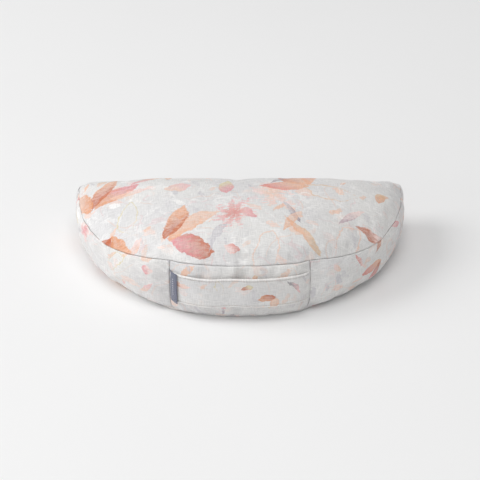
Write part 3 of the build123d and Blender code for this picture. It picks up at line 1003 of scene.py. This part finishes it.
def blossom(draw, x, y, size):
    """Loose flower with one thin leaf beside it."""
    angle = draw.uniform(0, 360)
    near, far = draw.choice((("coral", "pink"), ("rose", "blush"), ("peach", "blush")))
    leaf_x, leaf_y = x - 0.6 * size * cos(radians(angle)), y - 0.6 * size * sin(radians(angle))
    ink = draw.choice(COOL)
    return [
        ("flower", x, y, angle, size, 0.65 * size, (draw.choice((2.5, 3.5)), 0), near, far, 0.82),
        ("petal", leaf_x, leaf_y, angle, 0.6 * size, 0.12 * size, (0.3, 0.1), ink, "ash", 0.8),
    ]


def stroke(draw, x, y, size):
    """One long thin leaf that leans up to 60 degrees either way."""
    length, width = size * draw.uniform(0.6, 0.95), size * draw.uniform(0.1, 0.2)
    shape = (draw.uniform(-0.5, 0.5), draw.uniform(-0.3, 0.2))
    near, far = draw.choice(WARM + COOL), draw.choice(SOFT)
    return [("petal", x, y, draw.uniform(-60, 60), length, width, shape, near, far, 0.8)]


def loose_petal(draw, x, y, size):
    length = size * draw.uniform(0.25, 0.5)
    shape = (draw.uniform(0, 0.4), draw.uniform(0, 0.3))
    near, far = draw.choice(WARM), draw.choice(SOFT)
    return [("petal", x, y, draw.uniform(0, 180), length, 0.55 * length, shape, near, far, 0.8)]


def pencil_leaf(draw, x, y, size):
    length = size * draw.uniform(0.6, 0.9)
    near, far = draw.choice(SOFT), draw.choice(SOFT)
    return [("outline", x, y, draw.uniform(0, 180), length, 0.45 * length, (0.3, 0.1), near, far, 0.7)]


FIGURES = (stroke, loose_petal, pencil_leaf, sprig, stroke, loose_petal, blossom, pencil_leaf)


def arrangement(seed, low, high, columns, rows, size, wash):
    """One figure, placed at random, in each cell of a grid, over a pale wash."""
    draw = Random(seed)
    middle = [(a + b) / 2 for a, b in zip(low, high)]
    span = [b - a for a, b in zip(low, high)]
    made = [("petal", *middle, 0, 1.3 * span[0], 2.2 * span[1], (0.0, 0.0), "white", "milk", wash)]
    cells = [(column, row) for column in range(columns) for row in range(rows)]
    draw.shuffle(cells)
    for k, (column, row) in enumerate(cells):
        x = low[0] + (column + draw.uniform(0.15, 0.85)) * span[0] / columns
        y = low[1] + (row + draw.uniform(0.15, 0.85)) * span[1] / rows
        made += FIGURES[k % len(FIGURES)](draw, x, y, size)
    return made


TOP_MOTIFS = arrangement(5, (-200, -105), (200, 105), 8, 4, 74, 0.2)
BOTTOM_MOTIFS = arrangement(11, (-190, -95), (190, 95), 5, 3, 84, 0.2)
FRONT_MOTIFS = arrangement(12, (-84, 6), (84, 74), 4, 2, 32, 0.2)
RIGHT_MOTIFS = arrangement(13, (94, 8), (335, 72), 6, 2, 44, 0.3)
# the pale wash is part of the print, but it is stronger on the left wall than on the right (0.45 against
# 0.3): painted highlight, the left wall lighter as if lit from the left
LEFT_MOTIFS = arrangement(14, (-335, 8), (-94, 72), 6, 2, 44, 0.45)
BACK_MOTIFS = arrangement(15, (340, 8), (560, 72), 4, 2, 50, 0.2)
BACK_MOTIFS += arrangement(16, (-560, 8), (-340, 72), 4, 2, 50, 0.2)
HANDLE_MOTIFS = arrangement(17, (-84, 26), (84, 60), 5, 1, 34, 0.3)

prints = {
    "top": print_material("print_top", TOP_MOTIFS, 0.0, 0.95),
    "bottom": print_material("print_bottom", BOTTOM_MOTIFS, 1.3, 0.7),
    "front": print_material("print_front", FRONT_MOTIFS, 2.1, 0.45),
    "right": print_material("print_right", RIGHT_MOTIFS, 3.4, 0.75),
    "left": print_material("print_left", LEFT_MOTIFS, 4.7, 0.75),
    "back": print_material("print_back", BACK_MOTIFS, 5.9, 0.7),
    "handle": print_material("print_handle", HANDLE_MOTIFS, 7.2, 0.3, edge_highlight_and_groove_shade=True),
}
for name, piece in panels.items():
    piece.name = f"cover_{name}"
    piece.data.materials.clear()
    piece.data.materials.append(prints[name.split("_")[0]])
    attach(piece, "cushion")
    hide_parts(panel_node(name))


thread_material = woven_material("thread", srgb(238, 233, 226), srgb(222, 214, 205), 0.5 * MM)
label_material = woven_label_material("label_weave")
tape_material = woven_material("zip_tape_weave", srgb(226, 222, 216), srgb(206, 201, 194), 0.7 * MM)
liner_material = woven_material("liner_cotton", srgb(232, 224, 208), srgb(212, 201, 180), 1.1 * MM)
care_material = woven_material("care_satin", srgb(244, 243, 240), srgb(226, 224, 220), 0.5 * MM, 0.5, 0.0)
coil_material = hard_material("nylon_coil", srgb(224, 220, 212), srgb(206, 200, 190), 0.0, 0.38, 900)
metal_material = hard_material("zip_metal", srgb(176, 174, 170), srgb(138, 135, 130), 1.0, 0.3, 700)
hull_material = hulls_material("buckwheat_hulls")


# ---------------------------------------------------------------- handle strap
def surface_tree(*objects):
    corner, polygons = [], []
    for obj in objects:
        first = len(corner)
        corner += [v.co.copy() for v in obj.data.vertices]
        polygons += [[first + v for v in face.vertices] for face in obj.data.polygons]
    return BVHTree.FromPolygons(corner, polygons)


front_tree = surface_tree(panels["front"], panels["left"], panels["right"])


RAY_START = 60 * MM  # well outside the wall


def wall_reach(s, z):
    """How far outside the seam outline the finished wall lies at arc s and height z."""
    point, normal = outline.at(np.array(s))
    outward = Vector((normal[0], normal[1], 0))
    origin = Vector((point[0], point[1], z)) + outward * RAY_START
    hit = front_tree.ray_cast(origin, -outward)
    return RAY_START - hit[3] if hit[0] else wall_swell(np.array(z))


STRAP_LOW, STRAP_HIGH = 21.5 * MM, 64 * MM
STRAP_HEIGHT = STRAP_HIGH - STRAP_LOW
half_strap = outline.front_seam
reach_arc = np.linspace(-half_strap, half_strap, 48)
PROBE_EDGE = 3 * MM
probe = np.linspace(STRAP_LOW + PROBE_EDGE, STRAP_HIGH - PROBE_EDGE, 9)
reach_grid = np.array([[wall_reach(s, z) for z in probe] for s in reach_arc])
proud = np.sort(reach_grid, 1)[:, -3:].mean(1)
for _ in range(6):
    proud[1:-1] = (proud[:-2] + 2 * proud[1:-1] + proud[2:]) / 4


def wall_between(s, h):
    """The probed reach of the wall, evened out between the probes."""
    columns = (s + half_strap) / (2 * half_strap) * (len(reach_arc) - 1)
    low = np.clip(columns.astype(int), 0, len(reach_arc) - 2)
    rows = np.clip((h * STRAP_HEIGHT - PROBE_EDGE) / (STRAP_HEIGHT - 2 * PROBE_EDGE), 0, 1)
    rows = rows * (len(probe) - 1)
    row = np.clip(rows.astype(int), 0, len(probe) - 2)
    part, share = rows - row, columns - low
    near = reach_grid[low, row] * (1 - part) + reach_grid[low, row + 1] * part
    far = reach_grid[low + 1, row] * (1 - part) + reach_grid[low + 1, row + 1] * part
    return near * (1 - share) + far * share


def strap_point(s, h, depth):
    """Point on the strap at arc s, share h of its height and depth out from its inner face."""
    s, h, depth = np.broadcast_arrays(np.asarray(s, float), h, depth)
    point, normal = outline.at(s)
    from_end = half_strap - np.abs(s)
    free = smooth(from_end, 0.0, 9 * MM)
    flat_base = np.interp(s, reach_arc, proud) + 0.5 * MM
    wall = wall_between(s, h)
    middle = np.cos(pi * s / (2 * half_strap)) ** 2
    bow = 2.2 * MM * middle
    camber = 0.9 * MM * (2 * h - 1) ** 2
    ruffle = 0.35 * MM * np.sin(h * 19 + 1) * (1 - free) * smooth(from_end, 0, 3 * MM)
    out = free * (flat_base - camber) + (1 - free) * (wall - 0.8 * MM) + bow + ruffle
    out = out + depth * (0.45 + 0.55 * free)
    plan = point + normal * out[..., None]
    lift = 1.7 * MM * middle - 1.8 * MM * np.exp(-from_end / (16 * MM)) * h
    sag = 0.5 * MM * np.sin(s * 38) + 0.3 * MM * np.sin(s * 91 + 2)
    z = STRAP_LOW + h * STRAP_HEIGHT + lift + sag
    return np.concatenate([plan, z[..., None]], -1)


# (height, depth) in mm from an edge of the strap to its middle, and back along the inside
OUTSIDE = [
    (0.0, 1.2), (0.35, 2.0), (1.0, 2.5), (2.0, 2.5), (2.6, 2.25), (3.0, 1.75), (3.4, 2.1),
    (4.2, 2.3), (6.0, 2.2), (9.0, 2.1), (13.0, 2.05), (17.0, 2.05), (21.25, 2.05),
]
INSIDE = [(21.25, 0.0), (14.0, 0.0), (6.0, 0.0), (1.6, 0.05), (0.4, 0.4)]


def strap_profile():
    """Closed loop of (height, depth) in mm: outer face with edge ridges, then inner face."""
    height = STRAP_HEIGHT / MM
    outside = OUTSIDE + [(height - h, d) for h, d in OUTSIDE[-2::-1]]
    inside = [(height - h, d) for h, d in INSIDE[::-1]] + INSIDE[1:]
    return np.array(outside + inside)


def swept(columns):
    """Vertices and faces of a closed mesh through equal closed loops of points."""
    count, loop = columns.shape[:2]
    faces = []
    for k in range(count - 1):
        for i in range(loop):
            j = (i + 1) % loop
            faces.append((k * loop + i, k * loop + j, (k + 1) * loop + j, (k + 1) * loop + i))
    faces.append(tuple(range(loop))[::-1])
    faces.append(tuple(range((count - 1) * loop, count * loop)))
    return list(columns.reshape(-1, 3)), faces


def tube(centres, outward, radius, sides=6):
    """Closed thread along the centres; outward is the direction away from the cloth."""
    along = np.gradient(centres, axis=0)
    along /= np.linalg.norm(along, axis=1, keepdims=True)
    beside = np.cross(along, outward)
    beside /= np.linalg.norm(beside, axis=1, keepdims=True)
    up = np.cross(beside, along)
    turn = (np.arange(sides) * 2 * pi / sides)[None, :, None]
    ring = np.cos(turn) * beside[:, None] + np.sin(turn) * up[:, None]
    width = np.full(len(centres), radius)
    width[[0, -1]] *= 0.5
    return swept(centres[:, None] + ring * width[:, None, None])


def joined(parts):
    """Several lists of vertices and faces as one."""
    verts, faces = [], []
    for more, quads in parts:
        faces += [tuple(v + len(verts) for v in quad) for quad in quads]
        verts += more
    return verts, faces


STITCH_RADIUS = 0.26 * MM
STITCH_SHARES = np.array([0, 0.18, 0.5, 0.82, 1.0])
STITCH_LIFT = np.array([-0.35, 0.12, 0.26, 0.12, -0.35]) * MM


def stitch_row(surface, places, length):
    """Short raised threads; surface(arc, lift) gives points and the outward direction."""
    return joined(
        tube(*surface(start_at + STITCH_SHARES * length, STITCH_LIFT), STITCH_RADIUS)
        for start_at in places
    )


def finish_mesh(obj, sharp_ends=0):
    """Outward normals, smooth shading; the two end faces of a sweep get sharp edges."""
    work = bmesh.new()
    work.from_mesh(obj.data)
    bmesh.ops.recalc_face_normals(work, faces=work.faces)
    work.to_mesh(obj.data)
    work.free()
    obj.data.shade_smooth()
    ends = [face for face in obj.data.polygons if sharp_ends and len(face.vertices) >= sharp_ends]
    border = {key for face in ends for key in face.edge_keys}
    for edge in obj.data.edges:
        edge.use_edge_sharp = edge.key in border


STITCH_EDGE = 3 * MM  # from the strap's edge to its row of stitches
LOOP_POINTS = 12  # a face with at least this many corners is the end of a sweep


def strap_half(name, sign):
    """One half of the strap with its stitches; sign is -1 for the left and 1 for the right."""
    profile = strap_profile()
    near_seam = np.array([0, 0.7, 1.6, 2.8, 4.4, 6.4, 9.0]) * MM
    arc = np.concatenate([near_seam, np.linspace(12 * MM, half_strap, 24)])
    arc = sign * (half_strap - arc)
    h, depth = profile[:, 0] * MM / STRAP_HEIGHT, profile[:, 1] * MM
    columns = strap_point(arc[:, None], h[None], depth[None])
    _, normal = outline.at(arc)
    outer = depth > 0.2 * MM
    spots = columns.reshape(-1, 3)
    wrinkle = lumps(spots * (1, 1, 0.5), 0.012, 0.3 * MM, 5.5) + lumps(spots, 0.03, 0.5 * MM, 1.9)
    columns[..., :2] += normal[:, None] * (wrinkle.reshape(len(arc), -1) * outer)[..., None]
    parts = [swept(columns)]
    uv = np.stack([np.repeat(arc, len(h)), np.tile(STRAP_LOW + h * STRAP_HEIGHT, len(arc))], 1)
    cloth_faces = len(parts[0][1])
    for share in (STITCH_EDGE / STRAP_HEIGHT, 1 - STITCH_EDGE / STRAP_HEIGHT):

        def surface(at, lift):
            _, out = outline.at(at)
            return strap_point(at, share, 1.75 * MM + lift), np.pad(out, ((0, 0), (0, 1)))

        ends = sorted((sign * 2 * MM, sign * (half_strap - 4 * MM)))
        places = np.arange(ends[0], ends[1] - 2.4 * MM, 3.3 * MM)
        parts.append(stitch_row(surface, places, 2.5 * MM))
    verts, faces = joined(parts)
    uv = np.pad(uv, ((0, len(verts) - len(uv)), (0, 0)))
    piece = new_mesh(name, verts, faces)
    set_panel_places(piece, uv)
    piece.data.materials.append(prints["handle"])
    piece.data.materials.append(thread_material)
    for face in piece.data.polygons[cloth_faces:]:
        face.material_index = 1
    finish_mesh(piece, LOOP_POINTS)
    return piece


for name, sign, end_node in (("left", -1, "handle_end_left"), ("right", 1, "handle_end_right")):
    half = strap_half(f"handle_{name}", sign)
    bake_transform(half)
    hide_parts(end_node, *(["handle_strap"] if sign < 0 else []))


# ---------------------------------------------------------------- side label
LABEL_LOW, LABEL_HIGH = 20 * MM, 64 * MM
LABEL_WIDTH = 12.5 * MM


def side_label():
    """Woven tape folded in two, out of the left seam and over the end of the strap."""
    across = [0.0, 0.8, 2.0, 4.0, 6.5, 9.0, 11.2, 12.0, 12.45, 12.6, 12.45, 12.0]
    out = [0.25, 0.25, 0.2, 0.15, 0.15, 0.15, 0.12, 0.1, 0.25, 0.62, 1.0, 1.14]
    across += [11.2, 9.0, 6.5, 4.0, 2.0, 0.8, 0.0]
    out += [1.12, 1.05, 1.0, 0.95, 0.85, 0.7, 0.55]
    across, out = np.array(across) * MM, np.array(out) * MM
    rows = np.linspace(0, 1, 19)
    arc = -half_strap + across
    columns = []
    for share in rows:
        z = LABEL_LOW + share * (LABEL_HIGH - LABEL_LOW)
        h = (z - STRAP_LOW) / STRAP_HEIGHT
        plan = strap_point(arc, h, 2.45 * MM)[:, :2]
        _, normal = outline.at(arc)
        tuck = 1 - smooth(across, 0, 3.5 * MM)
        free = smooth(across, 3 * MM, LABEL_WIDTH)
        curl = 0.5 * MM * free * (1 + np.sin(5.5 * share + 0.6) * 0.7) + 0.55 * MM - 1.1 * MM * tuck
        squeeze = 1 - 0.25 * (abs(2 * share - 1) > 0.99)
        spot = plan + normal * (out * squeeze + curl)[:, None]
        height = z + 0.35 * MM * np.sin(across * 260) + 0 * across
        columns.append(np.concatenate([spot, height[:, None]], 1))
    piece = new_mesh("side_label_fold", *swept(np.array(columns)))
    uv = [(a, LABEL_LOW + r * (LABEL_HIGH - LABEL_LOW)) for r in rows for a in across]
    set_panel_places(piece, uv)
    piece.data.materials.append(label_material)
    finish_mesh(piece, LOOP_POINTS)
    return piece


label = side_label()
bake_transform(label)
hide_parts("side_label", "label_tab")


# ---------------------------------------------------------------- zips
def coil(name, node, above):
    """Nylon coil: one wire wound in flat loops along the edge of its tape."""
    low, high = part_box(node)
    turns = round((high[0] - low[0] - 1 * MM) / (1.35 * MM))
    per_turn = 8
    t = np.arange(turns * per_turn + 1) / per_turn
    wire = 0.27 * MM
    middle_z, middle_y = (low[2] + high[2]) / 2, (low[1] + high[1]) / 2
    tall, deep = (high[2] - low[2]) / 2 - wire, (high[1] - low[1]) / 2 - wire
    reach = -1 if above else 1  # side that meets the other coil
    phase = 2 * pi * t + (pi if above else 0)
    x = np.linspace(low[0] + 0.5 * MM, high[0] - 0.5 * MM, len(t))
    squared = np.sign(np.cos(phase)) * np.abs(np.cos(phase)) ** 0.7
    z = middle_z + reach * tall * squared + reach * 0.12 * MM
    y = middle_y + deep * np.sin(phase)
    centres = np.stack([x, y, z], 1)
    piece = new_mesh(name, *tube(centres, np.tile([1.0, 0.02, 0.01], (len(t), 1)), wire, 5))
    finish_mesh(piece)
    piece.data.materials.append(coil_material)
    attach(piece, "cushion")
    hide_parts(node)


coil("coil_lower", "zip_coil_lower", False)
coil("coil_upper", "zip_coil_upper", True)
coil("liner_coil_lower", "liner_zip_coil_lower", False)
coil("liner_coil_upper", "liner_zip_coil_upper", True)

back_tree = surface_tree(panels["back_lower"], panels["back_upper"])


def back_surface(z):
    """The back of the cover at height z, in the form that stitch_row takes."""

    def surface(at, lift):
        spots = []
        for x, out in zip(at, lift):
            hit = back_tree.ray_cast(Vector((x, BACK_Y + RAY_START, z)), Vector((0, -1, 0)))
            spots.append((x, hit[0][1] + out, z))
        return np.array(spots), np.tile([0.0, 1.0, 0.0], (len(at), 1))

    return surface


stitch_places = np.arange(-HALF_ZIP + 1 * MM, HALF_ZIP - 3 * MM, 3.4 * MM)
stitch_rows = [
    stitch_row(back_surface(ZIP_Z + side * (HALF_SLOT + 2.4 * MM)), stitch_places, 2.6 * MM)
    for side in (-1, 1)
]
zip_stitches = new_mesh("zip_stitches", *joined(stitch_rows))
finish_mesh(zip_stitches)
zip_stitches.data.materials.append(thread_material)
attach(zip_stitches, "cushion")

# ---------------------------------------------------------------- inside: liner, filling, care label


def inner_copy(name, inset, low_z, top_drop, recess):
    """The cover's shape made smaller; the back is pushed in behind the liner zip."""
    co = np.array(verts)
    scale_x = (HALF_WIDTH - inset) / (HALF_WIDTH + 3 * MM)
    scale_y = (SEAM_DEPTH / 2 - inset) / (SEAM_DEPTH / 2 + 3 * MM)
    co[:, 0] *= scale_x
    co[:, 1] = PLAN_CENTRE + (co[:, 1] - PLAN_CENTRE) * scale_y
    co[:, 2] = low_z + co[:, 2] * (CROWN_Z - top_drop - low_z) / CROWN_Z
    at_zip = (np.abs(co[:, 0]) < 104 * MM) & (np.abs(co[:, 2] - ZIP_Z) < 9 * MM) & (co[:, 1] > 0.08)
    co[at_zip, 1] = np.minimum(co[at_zip, 1], BACK_Y - inset - recess)
    piece = new_mesh(name, co, faces)
    piece.data = subdivided(piece)
    return piece


liner = inner_copy("liner_bag", 9 * MM, 2.5 * MM, 2.4 * MM, 1.4 * MM)
co = coordinates(liner)
normals = read(liner.data.vertices, "normal", 3)
away = (np.abs(co[:, 0]) > 112 * MM) | (co[:, 1] < 80 * MM)
co += normals * ((lumps(co, 0.03, 0.6 * MM, 4.4) + lumps(co, 0.012, 0.3 * MM, 6.1)) * away)[:, None]
co[:, 2] = np.maximum(co[:, 2], 1.4 * MM)
place(liner, co)
liner.data.shade_smooth()
liner.data.materials.append(liner_material)
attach(liner, "cushion")
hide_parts("liner_top", "liner_bottom", "liner_gusset", "liner_back")

filling = inner_copy("hull_filling", 10.6 * MM, 3.6 * MM, 4.2 * MM, 2.0 * MM)
co = coordinates(filling)
normals = read(filling.data.vertices, "normal", 3)
grains = np.array([noise.cell(Vector(c) / (4.2 * MM)) - 0.5 for c in co])
co += normals * (grains * 0.8 * MM - 0.3 * MM)[:, None]
place(filling, co)
filling.data.shade_smooth()
filling.data.materials.append(hull_material)
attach(filling, "cushion")
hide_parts("hull_fill")


def care_label():
    """Blank satin ribbon, folded in two, sewn in at its top edge."""
    low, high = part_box("care_label")
    drop = np.array([0, 3, 8, 14, 20, 25, 27.2, 28.0, 27.2, 25, 20, 14, 8, 3, 0]) * MM
    half = np.array([1, 1.05, 1.1, 1.2, 1.3, 1.3, 1.1])
    side = np.concatenate([half, [0], -half[::-1]]) * 0.28 * MM
    columns = []
    middle = (low[1] + high[1]) / 2
    for x in np.linspace(low[0], high[0], 17):
        wave = 0.5 * MM * np.sin((x - low[0]) * 170) * (drop / (28 * MM)) ** 2
        columns.append(np.stack([0 * drop + x, middle + side + wave, high[2] - drop], 1))
    piece = new_mesh("care_ribbon", *swept(np.array(columns)))
    finish_mesh(piece, LOOP_POINTS)
    piece.data.materials.append(care_material)
    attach(piece, "cushion")
    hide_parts("care_label")


care_label()

# ---------------------------------------------------------------- finishes of the CAD nodes that stay
FINISH = {
    "tape": tape_material,
    "slider": metal_material,
    "pull": metal_material,
    "stop": metal_material,
}
for name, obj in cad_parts.items():
    for word, material in FINISH.items():
        if "zip" in name and word in name:
            for slot in obj.material_slots:
                slot.material = material


# ---------------------------------------------------------------- floor, light and camera
FLOOR_HALF, FLOOR_Z = 6, -0.4 * MM
floor_corners = [(x * FLOOR_HALF, y * FLOOR_HALF, FLOOR_Z) for x, y in ((-1, -1), (1, -1), (1, 1), (-1, 1))]
floor = new_mesh("floor", floor_corners, [(0, 1, 2, 3)])
floor.data.materials.append(floor_material)

bpy.context.scene.view_settings.view_transform = "Standard"
world = bpy.data.worlds.new("studio")
bpy.context.scene.world = world
world.use_nodes = True
world.node_tree.nodes["Background"].inputs["Color"].default_value = (1, 1, 1, 1)
world.node_tree.nodes["Background"].inputs["Strength"].default_value = 0.42


def area_light(name, place_at, aim, size, power):
    """Square soft light of the given size and power, turned towards aim."""
    light = bpy.data.lights.new(name, "AREA")
    light.size = size
    light.energy = power
    obj = bpy.data.objects.new(name, light)
    bpy.context.scene.collection.objects.link(obj)
    obj.location = place_at
    obj.rotation_euler = (Vector(aim) - Vector(place_at)).to_track_quat("-Z", "Y").to_euler()


area_light("fill", (0.2, -1.0, 4.4), (0, 0, 0.03), 2.6, 66)
area_light("side", (-3.0, -2.4, 1.0), (0, 0, 0.04), 1.6, 23)
area_light("key", (-3.7, -0.1, 3.0), (0, 0, 0.05), 2.4, 100)

camera_data = bpy.data.cameras.new("camera")
camera_data.sensor_width = 36
camera_data.lens = 106.8
camera = bpy.data.objects.new("camera", camera_data)
bpy.context.scene.collection.objects.link(camera)
ELEVATION, AIM_DOWN, DISTANCE = radians(33.5), radians(0.905), 1.8
target = Vector((0, PLAN_CENTRE, 0.080))
camera.location = target + DISTANCE * Vector((0, -cos(ELEVATION), sin(ELEVATION)))
camera.rotation_euler = (pi / 2 - ELEVATION - AIM_DOWN, 0, 0)
bpy.context.scene.camera = camera
